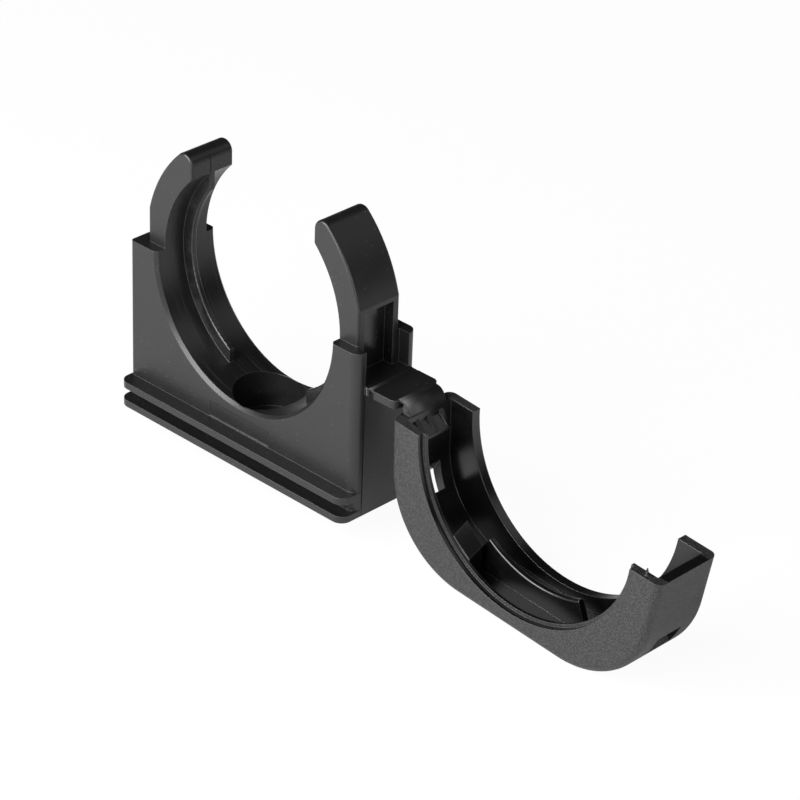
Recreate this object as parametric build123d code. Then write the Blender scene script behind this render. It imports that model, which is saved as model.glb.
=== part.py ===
"""Hinged conduit clip, moulded in black polyamide, shown open.

A base carries half of a round conduit seat between two springy arms. A short
link with a thin film at each end joins the base to an arched lid. The lid
folds over, its channel takes the arms, and a barb at each end snaps into a
pocket in each arm.

Millimetres. X runs along the base towards the hinge, Y along the conduit,
Z up. The origin is the centre of the screw hole on the underside.
"""

import os
from math import cos, radians, sin, sqrt, tan

from build123d import *

# Conduit seat
SEAT_RADIUS = 21.5
WEB_THICKNESS = 10.0
SEAT_EDGE_CHAMFER = 0.6

# Base block, and the two towers of its hinge end
TOWER_THICKNESS = 6.5
BASE_DEPTH = 14.0
TOWER_WALL = 2.0
HINGE_END_RADIUS = 1.8
PLAIN_END_RADIUS = 0.7
RECESS_FLOOR = 25.2

# Stacking rails along the front and the back
RAIL_REACH = 2.9
RAIL_THICKNESS = 1.3
RAIL_SLOT = 2.3
RAIL_CORNER_RADIUS = 2.0

# Screw hole and the recess for the screw's head
SCREW_HOLE_RADIUS = 3.2
SCREW_HEAD_RADIUS = 6.45
SCREW_FLOOR = 3.8

# Hollows under the base, which keep the walls even
CORE_WALL = 2.2
CORE_END_WALL = 2.0
BOSS_WALL = 2.6
CORE_RIB = 1.6

# Bare panel on the front face
PANEL_LEFT = -7.7
PANEL_RIGHT = 7.1
PANEL_LOW = 5.1
PANEL_HIGH = 8.0
PANEL_DEPTH = 0.15

# Arms
ARM_WIDTH = 9.7
ARM_THICKNESS = 5.0
ARM_FLAT_THICKNESS = 4.2
MOUTH_WIDTH = 29.6
ARM_TIP_RADIUS = 1.95
ARM_EDGE_RADIUS = 0.5

# Pockets in the arms, which take the barbs
POCKET_WIDTH = 6.8
POCKET_DEPTH = 2.0
POCKET_TOP_RISE = 5.7

# Grip ribs on the seat, between the corrugations of the conduit
GRIP_HEIGHT = 2.3
GRIP_WIDTH = 1.1
GRIP_TOP_ANGLE = 55.0
GRIP_LOW_ANGLE = -64.0
GRIP_END_SLOPE = 4.0

# Film hinges
HINGE_WIDTH = 10.56
HINGE_REACH = 1.24
HINGE_DROP = 0.2
LINK_LENGTH = 6.4
LINK_THICKNESS = 1.5
LINK_TURN = 84.0
STUB_GAP = 0.34
LINK_BASE_GAP = 0.31
LINK_LID_GAP = 0.55
TAB_GAP = 0.30
FILM_THICKNESS = 0.26
BEAD_RADIUS = 0.18
BEAD_CLEARANCE = 0.05
LINK_CORNER_RADIUS = 0.7
LINK_OUTER_RADIUS = 1.3
TAB_WIDTH = 8.3

# Lid
LID_DROOP = 4.8
LID_SIDE_STEP = 1.6
LID_DRAFT = 5.7
LID_CROWN_RISE = 5.2
SHOULDER_RADIUS = 17.4
LID_WALL = 1.9
LID_EDGE_RADIUS = 1.4
CHANNEL_CLEARANCE = 0.4
LID_TOWER_GAP = 1.6
LIP_STEP = 1.1
ARCH_DROP = 0.5
REBATE_STEP = 0.6
LIP_THICKNESS = 0.65

# Barbs at both ends of the lid
BARB_CLEARANCE = 0.1
BARB_BITE = 0.6
BARB_PLAY = 0.2
BARB_LIP = 0.6
BARB_RISE = 1.9
GUSSET_RISE = 0.8
GUSSET_WIDTH = 0.85
GUSSET_COUNT = 3

# Windows below the barbs, which slant outwards and down
WINDOW_WIDTH = 5.8
WINDOW_HEAD_DROP = 12.3
WINDOW_HEAD_INSET = 3.25
WINDOW_SILL_DROP = 17.05
WINDOW_SILL_INSET = 5.0
WINDOW_SLANT = 61.0
WINDOW_REACH = 4.0

# Small pointed nib on the far end's front rim
NIB_RADIUS = 0.5
NIB_TIP_RADIUS = 0.1
NIB_HEIGHT = 1.25
NIB_INSET = 3.7
NIB_DEPTH = 0.95

# Rib and pad inside the lid
LID_RIB_WIDTH = 1.2
LID_RIB_STEP = 0.4
LID_RIB_START = -120.5
LID_RIB_END = -64.0
PAD_CLEARANCE = 0.2
PAD_LENGTH = 3.95
PAD_WIDTH = 3.0
PAD_TOP_STEP = 0.0
PAD_SLOPE_DROP = 1.3

# Places that follow from the sizes above
SEAT_HEIGHT = WEB_THICKNESS + SEAT_RADIUS
BASE_HALF = SEAT_RADIUS + TOWER_THICKNESS
HALF_DEPTH = BASE_DEPTH / 2
TOWER_INNER = HALF_DEPTH - TOWER_WALL
ARM_FLAT = SEAT_RADIUS + ARM_FLAT_THICKNESS
ARM_OUTER = SEAT_RADIUS + ARM_THICKNESS
POCKET_TOP = SEAT_HEIGHT + POCKET_TOP_RISE
HINGE_X = BASE_HALF + HINGE_REACH
HINGE_Z = RECESS_FLOOR - HINGE_DROP
LID_HINGE_X = HINGE_X + LINK_LENGTH
# Where the lid's hinge lies in the lid's own frame, whose origin is the
# centre of the arch. Closed, that centre lies on the centre of the seat.
LID_LOCAL_HINGE_X = -(HINGE_X + LINK_LENGTH * cos(radians(LINK_TURN)))
LID_LOCAL_HINGE_Z = SEAT_HEIGHT - HINGE_Z - LINK_LENGTH * sin(radians(LINK_TURN))
LID_TURN = 180.0 + LID_DROOP - LINK_TURN
LID_HALF = BASE_HALF + LID_SIDE_STEP
LID_INNER = LID_HALF - LID_WALL
LID_END = -LID_TOWER_GAP
CROWN = -(SEAT_RADIUS + LID_CROWN_RISE)
CHANNEL_HALF = ARM_WIDTH / 2 + CHANNEL_CLEARANCE
LIP_RADIUS = SEAT_RADIUS + LIP_STEP
REBATE_RADIUS = LIP_RADIUS + REBATE_STEP
BARB_TIP = ARM_FLAT - BARB_BITE
BARB_CATCH = -(POCKET_TOP_RISE - BARB_PLAY)
BARB_HALF = POCKET_WIDTH / 2 - BARB_CLEARANCE

# Overlap that makes a fused feature one solid with its wall
ROOT = 0.4
# Length of a cut that runs clear of the part
CLEAR = 5.0


def upright(sketch, half_depth):
    """Turns a sketch in X and Z into a solid that reaches as far each way in Y."""
    return extrude(Plane.XZ * sketch, amount=half_depth, both=True)


def between(left, right, low, high):
    """A rectangle given by its sides."""
    return Pos((left + right) / 2, (low + high) / 2) * Rectangle(right - left, high - low)


def mirrored(shape):
    """The shape and its mirror image across X = 0."""
    return shape + mirror(shape, about=Plane.YZ)


def sloped_sector(inner, outer, start, end, slope):
    """A ring sector whose inner arc is shorter, by the slope angle, at both ends."""
    outside = CenterArc((0, 0), outer, start, end - start)
    inside = CenterArc((0, 0), inner, start + slope, end - start - 2 * slope)
    first = Line(inside @ 0, outside @ 0)
    last = Line(inside @ 1, outside @ 1)
    return make_face([outside, inside, first, last])


# Base


def base_block():
    """The block with its round seat, its rounded corners and its bevelled seat edge."""
    seat = Pos(0, SEAT_HEIGHT) * Circle(SEAT_RADIUS)
    block = upright(between(-BASE_HALF, BASE_HALF, 0, SEAT_HEIGHT) - seat, HALF_DEPTH)
    seat_edges = block.edges().filter_by(GeomType.CIRCLE)
    block = chamfer(seat_edges, SEAT_EDGE_CHAMFER)
    corners = block.edges().filter_by(Axis.Z).filter_by(lambda edge: edge.center().X > BASE_HALF - 0.01)
    block = fillet(corners, HINGE_END_RADIUS)
    corners = block.edges().filter_by(Axis.Z).filter_by(lambda edge: edge.center().X < 0.01 - BASE_HALF)
    return fillet(corners, PLAIN_END_RADIUS)


def tower_recess():
    """The space between the two towers of the hinge end, open outwards and upwards."""
    return upright(between(ARM_FLAT, BASE_HALF + CLEAR, RECESS_FLOOR, SEAT_HEIGHT + CLEAR), TOWER_INNER)


def arm_outline():
    """Both arms above the towers, seen along the conduit: curved, with flat lower flanks."""
    top = SEAT_HEIGHT + ARM_OUTER
    disc = Pos(0, SEAT_HEIGHT) * Circle(ARM_OUTER)
    band = disc & between(-ARM_FLAT, ARM_FLAT, SEAT_HEIGHT, top)
    seat = Pos(0, SEAT_HEIGHT) * Circle(SEAT_RADIUS)
    mouth = between(-MOUTH_WIDTH / 2, MOUTH_WIDTH / 2, SEAT_HEIGHT, top)
    outline = band - seat - mouth
    tip_height = SEAT_HEIGHT + sqrt(ARM_OUTER**2 - (MOUTH_WIDTH / 2) ** 2)
    tips = outline.vertices().filter_by(lambda point: abs(point.Y - tip_height) < 0.01)
    return fillet(tips, ARM_TIP_RADIUS)


def arms():
    """Both arms, with soft edges where they stand above the towers."""
    solid = upright(arm_outline(), ARM_WIDTH / 2)
    side_edges = solid.edges().filter_by(
        lambda edge: abs(abs(edge.center().Y) - ARM_WIDTH / 2) < 0.01
        and edge.center().Z > SEAT_HEIGHT + 0.01
        and outside_the_seat(edge)
    )
    return fillet(side_edges, ARM_EDGE_RADIUS)


def outside_the_seat(edge):
    """Says whether an edge lies off the round seat."""
    middle = edge @ 0.5
    return sqrt(middle.X**2 + (middle.Z - SEAT_HEIGHT) ** 2) > SEAT_RADIUS + 0.1


def barb_pocket(floor):
    """The pocket in one arm's outer face that a barb snaps into."""
    section = between(ARM_FLAT - POCKET_DEPTH, ARM_FLAT + CLEAR, floor, POCKET_TOP)
    return upright(section, POCKET_WIDTH / 2)


def rail(height):
    """One flange of the rails, round the whole base."""
    outline = RectangleRounded(2 * BASE_HALF, BASE_DEPTH + 2 * RAIL_REACH, RAIL_CORNER_RADIUS)
    return extrude(Pos(0, 0, height) * outline, amount=RAIL_THICKNESS)


def grip_rib():
    """The rib on one side of the seat, at mid depth, cut off level with the arm's end."""
    crest = SEAT_RADIUS - GRIP_HEIGHT
    section = sloped_sector(crest, SEAT_RADIUS + ROOT, GRIP_LOW_ANGLE, GRIP_TOP_ANGLE, GRIP_END_SLOPE)
    section -= between(-MOUTH_WIDTH / 2, MOUTH_WIDTH / 2, 0, SEAT_RADIUS + CLEAR)
    solid = upright(Pos(0, SEAT_HEIGHT) * section, GRIP_WIDTH / 2)
    crest_edges = solid.edges().filter_by(GeomType.CIRCLE).filter_by(
        lambda edge: abs(edge.radius - crest) < 0.01
    )
    return fillet(crest_edges, GRIP_WIDTH / 4)


def underside_cores(top):
    """The two hollows under one side of the seat, parted by a rib."""
    inner = SCREW_HEAD_RADIUS + BOSS_WALL
    outer = BASE_HALF - CORE_WALL
    middle = (inner + outer) / 2
    region = between(inner, outer, -CLEAR, top - CORE_WALL)
    region = region - Pos(0, SEAT_HEIGHT) * Circle(SEAT_RADIUS + CORE_WALL)
    rib = between(middle - CORE_RIB / 2, middle + CORE_RIB / 2, -2 * CLEAR, SEAT_HEIGHT)
    return upright(region - rib, HALF_DEPTH - CORE_END_WALL)


def screw_hole():
    """The stepped hole for a fixing screw, open to the seat."""
    shank = extrude(Pos(0, 0, -CLEAR) * Circle(SCREW_HOLE_RADIUS), amount=SEAT_HEIGHT)
    head = extrude(Pos(0, 0, SCREW_FLOOR) * Circle(SCREW_HEAD_RADIUS), amount=SEAT_HEIGHT)
    return shank + head


def front_panel():
    """The shallow bare panel in the front face."""
    section = between(PANEL_LEFT, PANEL_RIGHT, PANEL_LOW, PANEL_HIGH)
    return Pos(0, -HALF_DEPTH, 0) * upright(section, PANEL_DEPTH)


def film_cup(hinge_x, hinge_z, reach, width):
    """A thin film from a body to the bead at a hinge line, hollowed round the bead.

    The film starts left of the hinge line, or right of it where the reach is negative.
    """
    start = hinge_x - reach
    low = hinge_z - FILM_THICKNESS / 2
    strip = between(min(start, hinge_x), max(start, hinge_x), low, low + FILM_THICKNESS)
    bead = Pos(hinge_x, hinge_z) * Circle(BEAD_RADIUS + BEAD_CLEARANCE)
    return upright(strip - bead, width / 2)


def hinge_stub():
    """The short ledge on the base's end that carries the first film."""
    right = HINGE_X - STUB_GAP
    section = between(BASE_HALF - ROOT, right, RECESS_FLOOR - LINK_THICKNESS, RECESS_FLOOR)
    return upright(section, HINGE_WIDTH / 2) + film_cup(HINGE_X, HINGE_Z, STUB_GAP + ROOT, HINGE_WIDTH)


def make_base():
    """The base: block, towers, arms, rails, seat ribs, screw hole and hinge ledge."""
    solid = base_block() - tower_recess()
    solid += arms()
    solid -= barb_pocket(RECESS_FLOOR)
    solid -= mirror(barb_pocket(SEAT_HEIGHT), about=Plane.YZ)
    solid += rail(0) + rail(RAIL_THICKNESS + RAIL_SLOT)
    solid += mirrored(grip_rib())
    solid -= underside_cores(RECESS_FLOOR)
    solid -= mirror(underside_cores(SEAT_HEIGHT), about=Plane.YZ)
    solid -= screw_hole()
    solid -= front_panel()
    solid += hinge_stub()
    return solid


# Hinge link


def make_hinge_link():
    """The stiff link between the two film hinges."""
    left = HINGE_X + LINK_BASE_GAP
    right = LID_HINGE_X - LINK_LID_GAP
    outline = between(left, right, -HINGE_WIDTH / 2, HINGE_WIDTH / 2)
    corners = outline.vertices().sort_by(Axis.X)
    outline = fillet(corners[:2], LINK_CORNER_RADIUS)
    corners = outline.vertices().filter_by(lambda corner: abs(corner.X - right) < 0.01)
    outline = fillet(corners, LINK_OUTER_RADIUS)
    link = extrude(Pos(0, 0, RECESS_FLOOR - LINK_THICKNESS) * outline, amount=LINK_THICKNESS)
    low = HINGE_Z - FILM_THICKNESS / 2
    middle = (left + right) / 2
    for hinge_x, width in ((HINGE_X, HINGE_WIDTH), (LID_HINGE_X, TAB_WIDTH)):
        near = min(middle, hinge_x)
        film = between(near, max(middle, hinge_x), low, low + FILM_THICKNESS)
        link += upright(film + Pos(hinge_x, HINGE_Z) * Circle(BEAD_RADIUS), width / 2)
    return link


# Lid, in its own frame: origin at the centre of the arch, opening upwards


def lid_outline(inset):
    """The lid seen along the conduit, with every side moved in by the inset."""
    draft = radians(LID_DRAFT)
    centre_z = CROWN + SHOULDER_RADIUS
    centre_x = LID_HALF + centre_z * tan(draft) - SHOULDER_RADIUS / cos(draft)
    shoulder = CenterArc((centre_x, centre_z), SHOULDER_RADIUS - inset, -LID_DRAFT, LID_DRAFT - 90)
    start = shoulder @ 0
    side = start.X - start.Y * tan(draft)
    wall = Line((side, 0), start)
    floor = Line(shoulder @ 1, (0, CROWN + inset))
    half = [wall, shoulder, floor]
    whole = half + [mirror(edge, about=Plane.YZ) for edge in half]
    return make_face(whole + [Line((-side, 0), (side, 0))])


def lid_shell():
    """The lid's shell: an arched trough with soft outer edges and a rebate along the front rim."""
    outer = upright(lid_outline(0), HALF_DEPTH)
    rims = outer.edges().filter_by(
        lambda edge: abs(abs(edge.center().Y) - HALF_DEPTH) < 0.01 and edge.center().Z < LID_END
    )
    shell = fillet(rims, LID_EDGE_RADIUS)
    shell -= upright(lid_outline(LID_WALL), CHANNEL_HALF)
    shell -= upright(Pos(0, -ARCH_DROP) * Circle(LIP_RADIUS), HALF_DEPTH + CLEAR)
    rebate_depth = HALF_DEPTH - CHANNEL_HALF - LIP_THICKNESS
    rebate_middle = (rebate_depth - CLEAR) / 2 - HALF_DEPTH
    rebate = upright(Pos(0, -ARCH_DROP) * Circle(REBATE_RADIUS), (rebate_depth + CLEAR) / 2)
    shell -= Pos(0, rebate_middle, 0) * rebate
    return shell - upright(between(-LID_HALF - CLEAR, LID_HALF + CLEAR, LID_END, CLEAR), HALF_DEPTH + CLEAR)


def barb():
    """The barb at the lid's far end: a ramp with gussets, ending in a lip."""
    root = LID_INNER + ROOT
    crest = BARB_CATCH + BARB_LIP
    ramp = Polygon(
        (root, BARB_CATCH), (BARB_TIP, BARB_CATCH), (BARB_TIP, crest),
        (LID_INNER, crest + BARB_RISE), (root, crest + BARB_RISE), align=None,
    )
    solid = upright(ramp, BARB_HALF)
    gusset = Polygon(
        (root, crest), (BARB_TIP, crest), (LID_INNER, crest + BARB_RISE + GUSSET_RISE),
        (root, crest + BARB_RISE + GUSSET_RISE), align=None,
    )
    spread = 2 * BARB_HALF - GUSSET_WIDTH
    for index in range(GUSSET_COUNT):
        place = -spread / 2 + index * spread / (GUSSET_COUNT - 1)
        solid += Pos(0, place, 0) * upright(gusset, GUSSET_WIDTH / 2)
    return solid


def window():
    """The window through the lid's far end, which also frees the barb's catch."""
    head = (LID_HALF - WINDOW_HEAD_INSET, -WINDOW_HEAD_DROP)
    sill = (LID_HALF - WINDOW_SILL_INSET, -WINDOW_SILL_DROP)
    across = WINDOW_REACH * cos(radians(WINDOW_SLANT))
    down = WINDOW_REACH * sin(radians(WINDOW_SLANT))
    opening = Polygon(
        head, (head[0] + across, head[1] - down),
        (sill[0] + across, sill[1] - down), sill, (sill[0], head[1]), align=None,
    )
    return upright(opening, WINDOW_WIDTH / 2)


def rim_nib():
    """The pointed nib on the front rim at the far end."""
    nib = Cone(NIB_RADIUS, NIB_TIP_RADIUS, NIB_HEIGHT + ROOT, align=(Align.CENTER, Align.CENTER, Align.MIN))
    return Pos(LID_HALF - NIB_INSET, NIB_DEPTH - HALF_DEPTH, LID_END - ROOT) * nib


def lid_rib():
    """The curved rib on the lid's floor, at mid depth."""
    crest = SEAT_RADIUS - LID_RIB_STEP
    ring = sloped_sector(crest, LID_HALF, LID_RIB_START, LID_RIB_END, 0)
    solid = upright(ring & lid_outline(LID_WALL / 2), LID_RIB_WIDTH / 2)
    crest_edges = solid.edges().filter_by(GeomType.CIRCLE).filter_by(
        lambda edge: abs(edge.radius - crest) < 0.01
    )
    return fillet(crest_edges, LID_RIB_WIDTH / 3)


def seat_pad():
    """The pad beside the front wall, whose top rises from the lip to the seat."""
    left = -(MOUTH_WIDTH / 2 - PAD_CLEARANCE)
    top = SEAT_RADIUS + PAD_TOP_STEP
    low = LID_HALF + CLEAR
    section = Polygon(
        (top, 0), (top + PAD_SLOPE_DROP, -PAD_WIDTH), (low, -PAD_WIDTH), (low, 0), align=None,
    )
    ring = revolve(Pos(0, -(CHANNEL_HALF - PAD_WIDTH), 0) * section, axis=Axis.Y)
    block = upright(between(left, left + PAD_LENGTH, CROWN + LID_WALL / 2, 0), HALF_DEPTH)
    return ring & block


def hinge_tab():
    """The tab at the lid's near end that carries the second film."""
    start = LID_LOCAL_HINGE_X + TAB_GAP
    top = LID_LOCAL_HINGE_Z + HINGE_DROP
    bottom = top - LINK_THICKNESS
    section = Polygon(
        (start, top), (-LID_INNER, LID_END), (-LID_INNER - ROOT, LID_END - 2 * LINK_THICKNESS),
        (start, bottom), align=None,
    )
    tab = upright(section, TAB_WIDTH / 2)
    return tab + film_cup(LID_LOCAL_HINGE_X, LID_LOCAL_HINGE_Z, -(TAB_GAP + ROOT), TAB_WIDTH)


def make_lid():
    """The lid, placed open as it comes from the mould, drooping a little."""
    lid = lid_shell() + mirrored(barb()) + lid_rib() + seat_pad()
    lid -= mirrored(window())
    lid += hinge_tab()
    lid += rim_nib()
    swing = Pos(LID_HINGE_X, 0, HINGE_Z) * Rot(0, LID_DROOP, 0)
    return swing * Pos(-LID_LOCAL_HINGE_X, 0, -LID_LOCAL_HINGE_Z) * lid


NODES = {
    "base": make_base,
    "hinge_link": make_hinge_link,
    "lid": make_lid,
}


def main():
    """Builds each piece and writes it as its own STEP file."""
    os.makedirs("parts", exist_ok=True)
    for name, make in NODES.items():
        export_step(Part() + make(), f"parts/{name}.step")


main()
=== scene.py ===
"""Looks of the hinged conduit clip: moulded black polyamide on a pale studio floor.

Metres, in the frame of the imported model: X along the base towards the hinge and
the lid, Y along the conduit, Z up. Sizes in the classes below are in millimetres.
"""

import sys
import logging
import math
from dataclasses import dataclass, field
from enum import Enum
from typing import Any

import bmesh
import bpy
from mathutils import Matrix, Vector


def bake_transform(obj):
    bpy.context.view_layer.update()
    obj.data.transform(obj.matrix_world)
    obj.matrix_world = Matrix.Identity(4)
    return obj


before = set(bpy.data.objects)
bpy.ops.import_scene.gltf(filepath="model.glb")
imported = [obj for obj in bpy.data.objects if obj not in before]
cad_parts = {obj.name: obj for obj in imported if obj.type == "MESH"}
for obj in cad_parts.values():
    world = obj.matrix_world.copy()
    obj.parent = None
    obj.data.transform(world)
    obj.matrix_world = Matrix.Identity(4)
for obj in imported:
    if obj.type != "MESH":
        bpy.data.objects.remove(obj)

log = logging.getLogger("conduit_clip")

MM = 0.001


class Slot(Enum):
    """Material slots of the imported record."""

    BASE = "base_polyamide"
    LID = "lid_polyamide"


class Body(Enum):
    """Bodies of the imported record."""

    BASE = "base"
    LINK = "hinge_link"
    LID = "lid"


def linear(hex_colour: str) -> tuple[float, float, float, float]:
    """Turns an sRGB hex colour into linear values with full alpha.

    Args:
        hex_colour: Colour as "#rrggbb".

    Returns:
        Red, green, blue and alpha.
    """
    parts = [int(hex_colour[i:i + 2], 16) / 255 for i in (1, 3, 5)]
    toned = [c / 12.92 if c <= 0.04045 else ((c + 0.055) / 1.055) ** 2.4 for c in parts]
    return toned[0], toned[1], toned[2], 1.0


def add(
    tree: bpy.types.NodeTree,
    kind: str,
    settings: dict[str | int, Any] | None = None,
    links: dict[str | int, bpy.types.NodeSocket] | None = None,
) -> bpy.types.Node:
    """Adds one node with its settings and links.

    Args:
        tree: Node tree to add to.
        kind: Node type without its "ShaderNode" prefix.
        settings: Values; a lower-case key is the node's own property, any other key an input.
        links: Sources by input.

    Returns:
        The new node.
    """
    node = tree.nodes.new("ShaderNode" + kind)
    for key, value in (settings or {}).items():
        if isinstance(key, str) and key[0].islower():
            setattr(node, key, value)
        else:
            node.inputs[key].default_value = value
    for key, source in (links or {}).items():
        tree.links.new(source, node.inputs[key])
    return node


def material_tree(name: str) -> tuple[bpy.types.Material, bpy.types.NodeTree]:
    """Makes an empty material.

    Args:
        name: Name of the material.

    Returns:
        The material and its emptied node tree.
    """
    material = bpy.data.materials.new(name)
    material.use_nodes = True
    material.node_tree.nodes.clear()
    return material, material.node_tree


def dress(piece: bpy.types.Object, material: bpy.types.Material) -> None:
    """Gives a piece one material.

    Args:
        piece: Piece to dress.
        material: Material for every face.
    """
    piece.data.materials.clear()
    piece.data.materials.append(material)
    for face in piece.data.polygons:
        face.material_index = 0


@dataclass(frozen=True)
class Region:
    """A box-shaped place on the part, square to its axes."""

    middle_mm: tuple[float, float, float]
    half_size_mm: tuple[float, float, float]

    def share(
        self, tree: bpy.types.NodeTree, place: bpy.types.NodeSocket, full_at: float,
    ) -> bpy.types.NodeSocket:
        """Marks the place on the surface.

        Args:
            tree: The material's node tree.
            place: Position on the part.
            full_at: Distance from the middle, as a share of the half size, where the mark is full.

        Returns:
            1 in the middle of the box, falling to 0 at its faces.
        """
        middle = tuple(value * MM for value in self.middle_mm)
        half = tuple(value * MM for value in self.half_size_mm)
        offset = add(tree, "VectorMath", {"operation": "SUBTRACT", 1: middle}, {0: place}).outputs["Vector"]
        offset = add(tree, "VectorMath", {"operation": "ABSOLUTE"}, {0: offset}).outputs["Vector"]
        ratio = add(tree, "VectorMath", {"operation": "DIVIDE", 1: half}, {0: offset}).outputs["Vector"]
        parts = add(tree, "SeparateXYZ", links={"Vector": ratio}).outputs
        most = add(tree, "Math", {"operation": "MAXIMUM"}, {0: parts["X"], 1: parts["Y"]}).outputs["Value"]
        most = add(tree, "Math", {"operation": "MAXIMUM"}, {0: most, 1: parts["Z"]}).outputs["Value"]
        mark = add(tree, "MapRange", {"From Min": 1.0, "From Max": full_at}, {"Value": most})
        return mark.outputs["Result"]


@dataclass(frozen=True)
class Polyamide:
    """Injection-moulded black polyamide from a fine-ground steel mould.

    The eye gets a near-black satin body that turns mid-grey where a face mirrors
    the pale floor. It is clouded by the flow of the melt, flecked with dust, paler
    along its edges from wear and from a painted edge highlight, with painted glints
    on the tips of its grain, and smoother where the round core of the mould drew out.
    """

    name: str = "ground_polyamide"
    compound: str = "#0b0b0b"
    clouded: str = "#131313"
    pale_wear_and_highlight: str = "#8a8a8a"
    ior: float = 1.53
    roughness: float = 0.40
    roughness_spread: float = 0.14
    cloud_mm: float = 7.0
    edge_mm: float = 0.2
    # Cosines between the rounded and the plain normal, where the wear and the painted edge highlight start
    # and where they are full
    wear_and_highlight_from: float = 0.99
    wear_and_highlight_full: float = 0.8
    wear_and_highlight_share: float = 0.22
    speck_spacing_mm: float = 1.5
    # Real dust is 0.03 mm wide; 0.14 mm is as fine as the render shows
    speck_mm: float = 0.14
    speck_share: float = 0.2
    # Real grinding marks are 0.05 mm wide; 0.3 mm is as fine as the render shows
    grain_mm: float = 0.3
    grain_depth_mm: float = 0.012
    # Painted glints: the tips of the grain take the pale colour from here on
    glint_from: float = 0.58
    glint_span: float = 0.15
    glint_share: float = 0.025
    core_axis_mm: tuple[float, float] = (0.0, 31.5)
    core_reach_mm: float = 21.75
    core_blend_mm: float = 0.3
    core_compound: str = "#0e0d0d"
    core_roughness: float = 0.34
    # Real drag marks are 0.05 mm wide; 0.35 mm is as fine as the render shows
    drag_mm: float = 0.35
    drag_length_mm: float = 14.0
    drag_from: float = 0.56
    drag_full: float = 0.8
    drag_share: float = 0.16
    parting_lines: tuple[Region, ...] = ()
    # A parting groove shows as a dark line, because its walls hide the pale floor. Its normal is
    # tilted up on this vector instead, so that it mirrors the dim room above
    groove_normal: tuple[float, float, float] = (0.5, -0.2, 0.84)
    groove_full_at: float = 0.5
    polished: tuple[Region, ...] = ()
    polished_roughness: float = 0.2
    polished_full_at: float = 0.98

    def grain(self, tree: bpy.types.NodeTree, place: bpy.types.NodeSocket) -> bpy.types.NodeSocket:
        """Height of the surface, as left by a fine-ground mould.

        Args:
            tree: The material's node tree.
            place: Position on the part.

        Returns:
            Height from 0 to 1.
        """
        noise = add(
            tree, "TexNoise",
            {"Scale": 1 / (self.grain_mm * MM), "Detail": 3.0, "Roughness": 0.55},
            {"Vector": place},
        )
        return noise.outputs["Fac"]

    def specks(self, tree: bpy.types.NodeTree, place: bpy.types.NodeSocket) -> bpy.types.NodeSocket:
        """Sparse pale specks of dust and nicks.

        Args:
            tree: The material's node tree.
            place: Position on the part.

        Returns:
            Share of the pale colour.
        """
        cells = add(
            tree, "TexVoronoi",
            {"feature": "F1", "Scale": 1 / (self.speck_spacing_mm * MM)},
            {"Vector": place},
        )
        size = self.speck_mm / self.speck_spacing_mm
        edge = add(
            tree, "MapRange",
            {"From Min": size, "From Max": size / 2, "To Max": self.speck_share},
            {"Value": cells.outputs["Distance"]},
        )
        return edge.outputs["Result"]

    def painted_glints(self, tree: bpy.types.NodeTree, height: bpy.types.NodeSocket) -> bpy.types.NodeSocket:
        """Painted glints: a paler colour on the tips of the grain.

        Args:
            tree: The material's node tree.
            height: Height of the grain.

        Returns:
            Share of the pale colour.
        """
        tips = add(
            tree, "MapRange",
            {"From Min": self.glint_from, "From Max": self.glint_from + self.glint_span,
             "To Max": self.glint_share},
            {"Value": height},
        )
        return tips.outputs["Result"]

    def core_side(self, tree: bpy.types.NodeTree, place: bpy.types.NodeSocket) -> bpy.types.NodeSocket:
        """Surfaces that the round core of the mould formed: the seat and its ribs.

        Args:
            tree: The material's node tree.
            place: Position on the part.

        Returns:
            1 on those surfaces and 0 elsewhere.
        """
        x, z = self.core_axis_mm
        inward = add(
            tree, "VectorMath", {"operation": "SUBTRACT", 0: (x * MM, 0, z * MM)}, {1: place},
        ).outputs["Vector"]
        inward = add(
            tree, "VectorMath", {"operation": "MULTIPLY", 1: (1, 0, 1)}, {0: inward},
        ).outputs["Vector"]
        radius = add(tree, "VectorMath", {"operation": "LENGTH"}, {0: inward}).outputs["Value"]
        reach = self.core_reach_mm * MM
        within = add(
            tree, "MapRange",
            {"From Min": reach, "From Max": reach - self.core_blend_mm * MM}, {"Value": radius},
        )
        return within.outputs["Result"]

    def drag(self, tree: bpy.types.NodeTree, place: bpy.types.NodeSocket) -> bpy.types.NodeSocket:
        """Fine streaks that the core left as it drew out.

        Args:
            tree: The material's node tree.
            place: Position on the part.

        Returns:
            Share of the pale colour.
        """
        long_way = 1 / (self.drag_length_mm * MM)
        across = 1 / (self.drag_mm * MM)
        stretched = add(
            tree, "VectorMath", {"operation": "MULTIPLY", 1: (long_way, across, long_way)}, {0: place},
        ).outputs["Vector"]
        noise = add(
            tree, "TexNoise", {"Scale": 1.0, "Detail": 5.0, "Roughness": 0.7}, {"Vector": stretched},
        ).outputs["Fac"]
        streaks = add(
            tree, "MapRange",
            {"From Min": self.drag_from, "From Max": self.drag_full, "To Max": self.drag_share},
            {"Value": noise},
        )
        return streaks.outputs["Result"]

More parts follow.
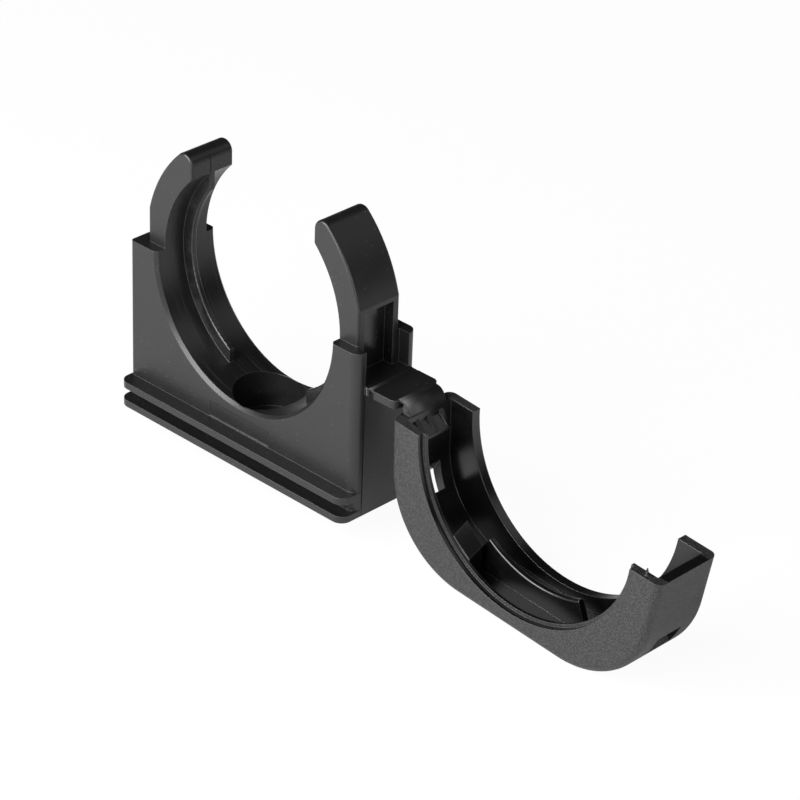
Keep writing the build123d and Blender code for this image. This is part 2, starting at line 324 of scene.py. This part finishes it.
    def surface_normal(
        self, tree: bpy.types.NodeTree, place: bpy.types.NodeSocket, grain: bpy.types.NodeSocket,
        cavity: bpy.types.NodeSocket, soft: bpy.types.NodeSocket,
    ) -> bpy.types.NodeSocket:
        """Normal of the surface: its grain where the cavity formed it, and its parting grooves.

        Args:
            tree: The material's node tree.
            place: Position on the part.
            grain: Height of the grain.
            cavity: 1 where the cavity of the mould formed the surface.
            soft: Normal with its edges rounded off.

        Returns:
            The normal.
        """
        depth = add(
            tree, "Math", {"operation": "MULTIPLY", 1: self.grain_depth_mm}, {0: cavity},
        ).outputs["Value"]
        height = add(tree, "Math", {"operation": "MULTIPLY"}, {0: grain, 1: depth}).outputs["Value"]
        normal = add(
            tree, "Bump", {"Strength": 1.0, "Distance": MM}, {"Height": height, "Normal": soft},
        ).outputs["Normal"]
        for line in self.parting_lines:
            normal = add(
                tree, "Mix", {"data_type": "VECTOR", 5: self.groove_normal},
                {0: line.share(tree, place, self.groove_full_at), 4: normal},
            ).outputs[1]
        return normal

    def build(self) -> bpy.types.Material:
        """Builds the material.

        Returns:
            The finished material.
        """
        material, tree = material_tree(self.name)
        place = add(tree, "TexCoord").outputs["Object"]
        cloud = add(
            tree, "TexNoise",
            {"Scale": 1 / (self.cloud_mm * MM), "Detail": 4.0, "Roughness": 0.6, "Distortion": 0.6},
            {"Vector": place},
        ).outputs["Fac"]
        height = self.grain(tree, place)
        core = self.core_side(tree, place)
        cavity = add(tree, "Math", {"operation": "SUBTRACT", 0: 1.0}, {1: core}).outputs["Value"]
        soft = add(tree, "Bevel", {"samples": 6, "Radius": self.edge_mm * MM}).outputs["Normal"]
        flat = add(tree, "NewGeometry").outputs["Normal"]
        turn = add(tree, "VectorMath", {"operation": "DOT_PRODUCT"}, {0: soft, 1: flat}).outputs["Value"]
        # Paler edges: partly wear, partly a painted highlight standing in for rounded edges that catch the
        # floor
        edge = add(
            tree, "MapRange",
            {"From Min": self.wear_and_highlight_from, "From Max": self.wear_and_highlight_full, "To Max": self.wear_and_highlight_share},
            {"Value": turn},
        ).outputs["Result"]
        pale_wear_and_highlight = add(tree, "Math", {"operation": "MULTIPLY"}, {0: edge, 1: cloud}).outputs["Value"]
        # Painted glints on the tips of the grain, where the cavity formed the surface
        painted_glint = add(
            tree, "Math", {"operation": "MULTIPLY"}, {0: self.painted_glints(tree, height), 1: cavity},
        ).outputs["Value"]
        streak = add(
            tree, "Math", {"operation": "MULTIPLY"}, {0: self.drag(tree, place), 1: core},
        ).outputs["Value"]
        dust = add(
            tree, "Math", {"operation": "MULTIPLY"}, {0: self.specks(tree, place), 1: cavity},
        ).outputs["Value"]
        pale = pale_wear_and_highlight
        for share in (painted_glint, streak, dust):
            pale = add(tree, "Math", {"operation": "MAXIMUM"}, {0: pale, 1: share}).outputs["Value"]
        body = add(
            tree, "Mix",
            {"data_type": "RGBA", 6: linear(self.compound), 7: linear(self.clouded)},
            {0: cloud},
        ).outputs[2]
        body = add(
            tree, "Mix", {"data_type": "RGBA", 7: linear(self.core_compound)}, {0: core, 6: body},
        ).outputs[2]
        # This pale colour serves wear, dust and drag streaks, and also the painted edge highlight and the
        # painted glints
        colour = add(tree, "Mix", {"data_type": "RGBA", 7: linear(self.pale_wear_and_highlight)}, {0: pale, 6: body}).outputs[2]
        low = self.roughness - self.roughness_spread / 2
        gloss = add(
            tree, "MapRange",
            {"To Min": low, "To Max": low + self.roughness_spread},
            {"Value": cloud},
        ).outputs["Result"]
        gloss = add(
            tree, "Mix", {"data_type": "FLOAT", 3: self.core_roughness}, {0: core, 2: gloss},
        ).outputs[0]
        for pocket in self.polished:
            gloss = add(
                tree, "Mix", {"data_type": "FLOAT", 3: self.polished_roughness},
                {0: pocket.share(tree, place, self.polished_full_at), 2: gloss},
            ).outputs[0]
        normal = self.surface_normal(tree, place, height, cavity, soft)
        shader = add(
            tree, "BsdfPrincipled",
            {"IOR": self.ior},
            {"Base Color": colour, "Roughness": gloss, "Normal": normal},
        ).outputs["BSDF"]
        add(tree, "OutputMaterial", links={"Surface": shader})
        return material


@dataclass(frozen=True)
class SparkErodedPolyamide(Polyamide):
    """Black polyamide from a mould with a spark-eroded cavity and a polished core.

    The eye gets a matt, speckled grey outside that hardly changes with the angle,
    its speckle partly painted glints on the tips of the pits, and a glossy
    near-black inside that shows dim soft reflections.
    """

    name: str = "spark_eroded_polyamide"
    compound: str = "#0d0d0d"
    clouded: str = "#141414"
    roughness: float = 0.52
    # Real erosion pits are 0.1 mm wide; 0.26 mm is as fine as the render shows
    grain_mm: float = 0.26
    grain_depth_mm: float = 0.03
    # Painted glints on the tips of the erosion pits
    glint_from: float = 0.92
    glint_share: float = 0.07
    # The middle of the arch while the lid lies open
    core_axis_mm: tuple[float, float] = (65.43, 22.36)
    core_compound: str = "#090808"
    core_roughness: float = 0.24
    core_reach_mm: float = 2.2
    core_blend_mm: float = 0.4
    # The channel between the side walls, with the rib and the gussets in it
    channel_half_mm: float = 4.9
    channel_reach_mm: float = -4.2
    drag_share: float = 0.03

    def grain(self, tree: bpy.types.NodeTree, place: bpy.types.NodeSocket) -> bpy.types.NodeSocket:
        """Height of the surface, as left by a spark-eroded mould.

        Args:
            tree: The material's node tree.
            place: Position on the part.

        Returns:
            Height, mostly from 0 to 1.
        """
        pits = add(
            tree, "TexVoronoi",
            {"feature": "SMOOTH_F1", "Scale": 1 / (self.grain_mm * MM), "Smoothness": 0.6},
            {"Vector": place},
        ).outputs["Distance"]
        rough = add(
            tree, "TexNoise",
            {"Scale": 1 / (self.grain_mm * MM), "Detail": 2.0, "Roughness": 0.7},
            {"Vector": place},
        ).outputs["Fac"]
        return add(tree, "Math", {"operation": "ADD"}, {0: pits, 1: rough}).outputs["Value"]

    def core_side(self, tree: bpy.types.NodeTree, place: bpy.types.NodeSocket) -> bpy.types.NodeSocket:
        """Surfaces that the polished core formed: those that face the middle of the arch.

        Args:
            tree: The material's node tree.
            place: Position on the part.

        Returns:
            1 on those surfaces and 0 elsewhere.
        """
        x, z = self.core_axis_mm
        inward = add(
            tree, "VectorMath", {"operation": "SUBTRACT", 0: (x * MM, 0, z * MM)}, {1: place},
        ).outputs["Vector"]
        facing = add(tree, "TexCoord").outputs["Normal"]
        lead = add(
            tree, "VectorMath", {"operation": "DOT_PRODUCT"}, {0: inward, 1: facing},
        ).outputs["Value"]
        walls, channel = (
            add(
                tree, "MapRange",
                {"From Min": reach * MM, "From Max": (reach + self.core_blend_mm) * MM}, {"Value": lead},
            ).outputs["Result"]
            for reach in (self.core_reach_mm, self.channel_reach_mm)
        )
        depth = add(tree, "SeparateXYZ", links={"Vector": place}).outputs["Y"]
        depth = add(tree, "Math", {"operation": "ABSOLUTE"}, {0: depth}).outputs["Value"]
        between = add(
            tree, "Math", {"operation": "LESS_THAN", 1: self.channel_half_mm * MM}, {0: depth},
        ).outputs["Value"]
        inside = add(tree, "Math", {"operation": "MULTIPLY"}, {0: channel, 1: between}).outputs["Value"]
        return add(tree, "Math", {"operation": "MAXIMUM"}, {0: walls, 1: inside}).outputs["Value"]


@dataclass(frozen=True)
class PaleStage:
    """Matt white card under and behind the part.

    The camera sees it almost evenly white, with a faint soft shadow. Reflections
    see the same white more dimly, over the card as the lamps light it, so the
    part's own shadow darkens what its far sides mirror. Other rays meet plain card.
    """

    name: str = "white_card"
    card: str = "#e8e8e8"
    fibre: str = "#e4e4e4"
    # Single fibres are 0.02 mm wide; these are the soft clouds that they form
    fibre_mm: float = 2.5
    camera_glow: float = 0.95
    mirror_glow: float = 0.25

    def build(self) -> bpy.types.Material:
        """Builds the material.

        Returns:
            The finished material.
        """
        material, tree = material_tree(self.name)
        rays = add(tree, "LightPath").outputs
        mirrored = add(
            tree, "Math", {"operation": "MAXIMUM"},
            {0: rays["Is Glossy Ray"], 1: rays["Is Transmission Ray"]},
        ).outputs["Value"]
        dimmed = add(
            tree, "Math", {"operation": "MULTIPLY", 1: self.mirror_glow}, {0: mirrored},
        ).outputs["Value"]
        share = add(
            tree, "Math", {"operation": "MULTIPLY_ADD", 1: self.camera_glow},
            {0: rays["Is Camera Ray"], 2: dimmed},
        ).outputs["Value"]
        fibre = add(tree, "TexNoise", {"Scale": 1 / (self.fibre_mm * MM), "Detail": 2.0}).outputs["Fac"]
        tone = add(
            tree, "Mix",
            {"data_type": "RGBA", 6: linear(self.fibre), 7: linear(self.card)},
            {0: fibre},
        ).outputs[2]
        card = add(tree, "BsdfDiffuse", links={"Color": tone}).outputs["BSDF"]
        glow = add(tree, "Emission", {"Strength": 1.0}).outputs["Emission"]
        surface = add(tree, "MixShader", links={0: share, 1: card, 2: glow}).outputs["Shader"]
        add(tree, "OutputMaterial", links={"Surface": surface})
        material.cycles.emission_sampling = "NONE"
        return material


def mesh_object(name: str, work: bmesh.types.BMesh) -> bpy.types.Object:
    """Turns a finished bmesh into an object in the scene.

    Args:
        name: Name of the piece.
        work: The bmesh, which is freed.

    Returns:
        The new object.
    """
    bmesh.ops.recalc_face_normals(work, faces=work.faces)
    mesh = bpy.data.meshes.new(name)
    work.to_mesh(mesh)
    work.free()
    piece = bpy.data.objects.new(name, mesh)
    bpy.context.scene.collection.objects.link(piece)
    return piece


@dataclass
class FilmHinge:
    """A thin film of the moulding that bends: a closed strip across one hinge line.

    It lies level over the near plate and bends down over the far one by its fall. A higher
    bend keeps it level for longer before it falls.
    """

    name: str
    near: Body
    far: Body
    line_x_mm: float
    line_z_mm: float
    near_gap_mm: float
    far_gap_mm: float
    width_mm: float
    near_run_mm: float = 0.12
    far_run_mm: float = 0.12
    fall_mm: float = 0.0
    bend: float = 2.6
    thickness_mm: float = 0.39
    waist_mm: float = 0.02
    probe_mm: float = 0.02
    steps: int = 24

    def middle(self, x: float) -> float:
        """Height of the strip's middle at a place along X.

        Args:
            x: Place along X in millimetres.

        Returns:
            Height in millimetres.
        """
        start = self.line_x_mm - self.near_gap_mm / 2
        end = self.line_x_mm + self.far_gap_mm + self.far_run_mm
        share = max(0.0, (x - start) / (end - start))
        return self.line_z_mm - self.fall_mm * share ** self.bend

    def section(self) -> list[tuple[float, float]]:
        """Outline of the strip seen along the hinge line.

        Returns:
            X and Z in millimetres, along the top and back along the underside.
        """
        start = self.line_x_mm - self.near_gap_mm - self.near_run_mm
        length = self.near_gap_mm + self.near_run_mm + self.far_gap_mm + self.far_run_mm
        upper = []
        lower = []
        for step in range(self.steps + 1):
            share = step / self.steps
            x = start + length * share
            rise = self.middle(x + self.probe_mm) - self.middle(x - self.probe_mm)
            slope = rise / (2 * self.probe_mm)
            half = self.thickness_mm / 2 - self.waist_mm * math.sin(math.pi * share)
            tilt = math.atan(slope)
            upper.append((x - half * math.sin(tilt), self.middle(x) + half * math.cos(tilt)))
            lower.append((x + half * math.sin(tilt), self.middle(x) - half * math.cos(tilt)))
        return upper + lower[::-1]

    def mesh(self) -> bpy.types.Object:
        """Builds the strip, with a slight waist at its middle.

        Returns:
            The strip as an object with no parent.
        """
        loop = self.section()
        work = bmesh.new()
        sides = []
        for y in (-self.width_mm / 2, self.width_mm / 2):
            sides.append([work.verts.new(Vector((x, y, z)) * MM) for x, z in loop])
        count = len(loop)
        for index in range(count):
            after = (index + 1) % count
            work.faces.new((sides[0][index], sides[0][after], sides[1][after], sides[1][index]))
        for step in range(self.steps):
            back = count - 1 - step
            work.faces.new((sides[0][step], sides[0][step + 1], sides[0][back - 1], sides[0][back]))
            work.faces.new((sides[1][step], sides[1][back], sides[1][back - 1], sides[1][step + 1]))
        return mesh_object(self.name, work)

    def build(self, material: bpy.types.Material, slot: Slot) -> bpy.types.Object:
        """Makes and dresses the strip.

        Args:
            material: Finish of the strip.
            slot: Material slot of the record; not used.

        Returns:
            The finished piece.
        """
        piece = self.mesh()
        dress(piece, material)
        for face in piece.data.polygons:
            face.use_smooth = abs(face.normal.y) < 0.5
        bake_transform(piece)
        log.info("film hinge %s between %s and %s", self.name, self.near.value, self.far.value)
        return piece


@dataclass
class Moulding:
    """One rigid length of the moulding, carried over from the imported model."""

    node: str
    finish: Polyamide
    slot: Slot

    def build(self) -> None:
        """Dresses the node and reports it."""
        dress(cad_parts[self.node], self.finish.build())
        log.info("moulding %s in %s", self.node, self.finish.name)


@dataclass(frozen=True)
class Softbox:
    """A large soft lamp with a rectangular face."""

    name: str
    place_mm: tuple[float, float, float]
    aim_mm: tuple[float, float, float]
    width_mm: float
    height_mm: float
    power_w: float

    def build(self) -> bpy.types.Object:
        """Hangs the lamp and turns it to its aim.

        Returns:
            The lamp.
        """
        lamp = bpy.data.lights.new(self.name, "AREA")
        lamp.shape = "RECTANGLE"
        lamp.size = self.width_mm * MM
        lamp.size_y = self.height_mm * MM
        lamp.energy = self.power_w
        holder = bpy.data.objects.new(self.name, lamp)
        bpy.context.scene.collection.objects.link(holder)
        place = Vector(self.place_mm) * MM
        holder.location = place
        holder.rotation_euler = (Vector(self.aim_mm) * MM - place).to_track_quat("-Z", "Y").to_euler()
        log.info("softbox %s, %.2f W", self.name, self.power_w)
        return holder


@dataclass
class Studio:
    """Pale floor, low round backdrop, dim room and soft lamps."""

    # Just under the lowest point of the open lid
    floor_z_mm: float = -5.3
    floor_radius_mm: float = 2200.0
    sweep_height_mm: float = 320.0
    segments: int = 96
    sweep_steps: int = 12
    floor_rings: tuple[float, ...] = (0.1, 0.4, 0.75)
    room: float = 0.03
    room_colour: str = "#ffffff"
    lamps: list[Softbox] = field(default_factory=lambda: [
        Softbox(
            "front", place_mm=(-60, -430, 290), aim_mm=(10, -30, 0),
            width_mm=560, height_mm=380, power_w=7.5,
        ),
        Softbox(
            "right", place_mm=(620, -160, 260), aim_mm=(40, 0, 15),
            width_mm=300, height_mm=300, power_w=1.5,
        ),
        Softbox(
            "back_right", place_mm=(420, 640, 560), aim_mm=(30, 0, 20),
            width_mm=520, height_mm=420, power_w=0.5,
        ),
    ])

    def sweep(self) -> bpy.types.Object:
        """Lathes the floor and the backdrop as one card that curves up all round.

        Returns:
            The card.
        """
        radius = self.floor_radius_mm
        height = self.sweep_height_mm
        profile = [(radius * share, 0.0) for share in self.floor_rings]
        for step in range(self.sweep_steps + 1):
            angle = math.pi / 2 * step / self.sweep_steps
            profile.append((radius + height * math.sin(angle), height * (1 - math.cos(angle))))
        work = bmesh.new()
        centre = work.verts.new((0, 0, self.floor_z_mm * MM))
        rings = []
        for reach, rise in profile:
            ring = []
            for index in range(self.segments):
                turn = 2 * math.pi * index / self.segments
                point = Vector((reach * math.cos(turn), reach * math.sin(turn), self.floor_z_mm + rise))
                ring.append(work.verts.new(point * MM))
            rings.append(ring)
        for index in range(self.segments):
            after = (index + 1) % self.segments
            work.faces.new((centre, rings[0][index], rings[0][after]))
            for inner, outer in zip(rings, rings[1:]):
                work.faces.new((inner[index], outer[index], outer[after], inner[after]))
        card = mesh_object("stage_card", work)
        for face in card.data.polygons:
            face.use_smooth = True
        return card

    def room_light(self) -> None:
        """Sets the dim, even light of the room."""
        world = bpy.data.worlds.new("room")
        world.use_nodes = True
        tree = world.node_tree
        tree.nodes.clear()
        light = add(
            tree, "Background", {"Color": linear(self.room_colour), "Strength": self.room},
        ).outputs["Background"]
        add(tree, "OutputWorld", links={"Surface": light})
        bpy.context.scene.world = world

    def build(self) -> None:
        """Sets up the floor, the room and the lamps."""
        card = self.sweep()
        card.data.materials.append(PaleStage().build())
        self.room_light()
        for lamp in self.lamps:
            lamp.build()
        log.info("studio with %d lamps", len(self.lamps))


@dataclass(frozen=True)
class Viewpoint:
    """The camera at the photograph's place and angle."""

    place_mm: tuple[float, float, float] = (385.1794, -372.2309, 318.1954)
    azimuth_deg: float = 43.565
    elevation_deg: float = 29.970
    roll_deg: float = 2.078
    lens_mm: float = 160.78
    sensor_mm: float = 36.0
    clip_start_m: float = 0.01
    clip_end_m: float = 20.0

    def build(self) -> bpy.types.Object:
        """Makes the camera and gives it to the scene.

        Returns:
            The camera.
        """
        azimuth, elevation, roll = (
            math.radians(angle) for angle in (self.azimuth_deg, self.elevation_deg, self.roll_deg)
        )
        back = Vector((
            math.sin(azimuth) * math.cos(elevation),
            -math.cos(azimuth) * math.cos(elevation),
            math.sin(elevation),
        ))
        level = Vector((math.cos(azimuth), math.sin(azimuth), 0))
        upward = back.cross(level)
        right = level * math.cos(roll) + upward * math.sin(roll)
        up = upward * math.cos(roll) - level * math.sin(roll)
        data = bpy.data.cameras.new("viewpoint")
        data.lens = self.lens_mm
        data.sensor_width = self.sensor_mm
        data.clip_start = self.clip_start_m
        data.clip_end = self.clip_end_m
        camera = bpy.data.objects.new("viewpoint", data)
        bpy.context.scene.collection.objects.link(camera)
        turn = Matrix((right, up, back)).transposed().to_4x4()
        camera.matrix_world = Matrix.Translation(Vector(self.place_mm) * MM) @ turn
        bpy.context.scene.camera = camera
        log.info("camera at azimuth %.1f, elevation %.1f", self.azimuth_deg, self.elevation_deg)
        return camera


def main() -> None:
    """Builds the clip's looks, the studio and the camera."""
    logging.basicConfig(level=logging.INFO, format="%(name)s: %(message)s", stream=sys.stdout)
    bpy.context.scene.view_settings.view_transform = "Standard"
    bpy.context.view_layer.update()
    # Down the front corner of the hinge end, down the mouth of the plain arm, and round the snap
    # pocket of the hinge arm
    corner_line = Region(middle_mm=(28.0, -5.2, 15.0), half_size_mm=(0.6, 0.14, 15.5))
    mouth_line = Region(middle_mm=(-14.8, -0.4, 49.0), half_size_mm=(0.6, 0.1, 3.2))
    pocket = Region(middle_mm=(24.6, 0.0, 31.3), half_size_mm=(1.06, 3.45, 6.1))
    body = Polyamide(parting_lines=(corner_line, mouth_line), polished=(pocket,))
    film = Polyamide(
        name="film_polyamide", clouded="#0d0d0d", roughness=0.5, roughness_spread=0.0, edge_mm=0.03,
        speck_share=0.0, grain_depth_mm=0.004,
    ).build()
    Moulding("base", body, Slot.BASE).build()
    Moulding("hinge_link", Polyamide(name="link_polyamide"), Slot.BASE).build()
    Moulding("lid", SparkErodedPolyamide(), Slot.LID).build()
    FilmHinge(
        "base_film", Body.BASE, Body.LINK, line_x_mm=29.24, line_z_mm=25.0,
        near_gap_mm=0.34, far_gap_mm=0.31, width_mm=10.56,
    ).build(film, Slot.BASE)
    FilmHinge(
        "lid_film", Body.LINK, Body.LID, line_x_mm=35.64, line_z_mm=25.08,
        near_gap_mm=0.55, far_gap_mm=0.30, width_mm=8.4,
        near_run_mm=0.4, far_run_mm=1.75, fall_mm=2.1,
    ).build(film, Slot.BASE)
    Studio().build()
    Viewpoint().build()
    log.info("sizes written")


if __name__ == "__main__":
    main()
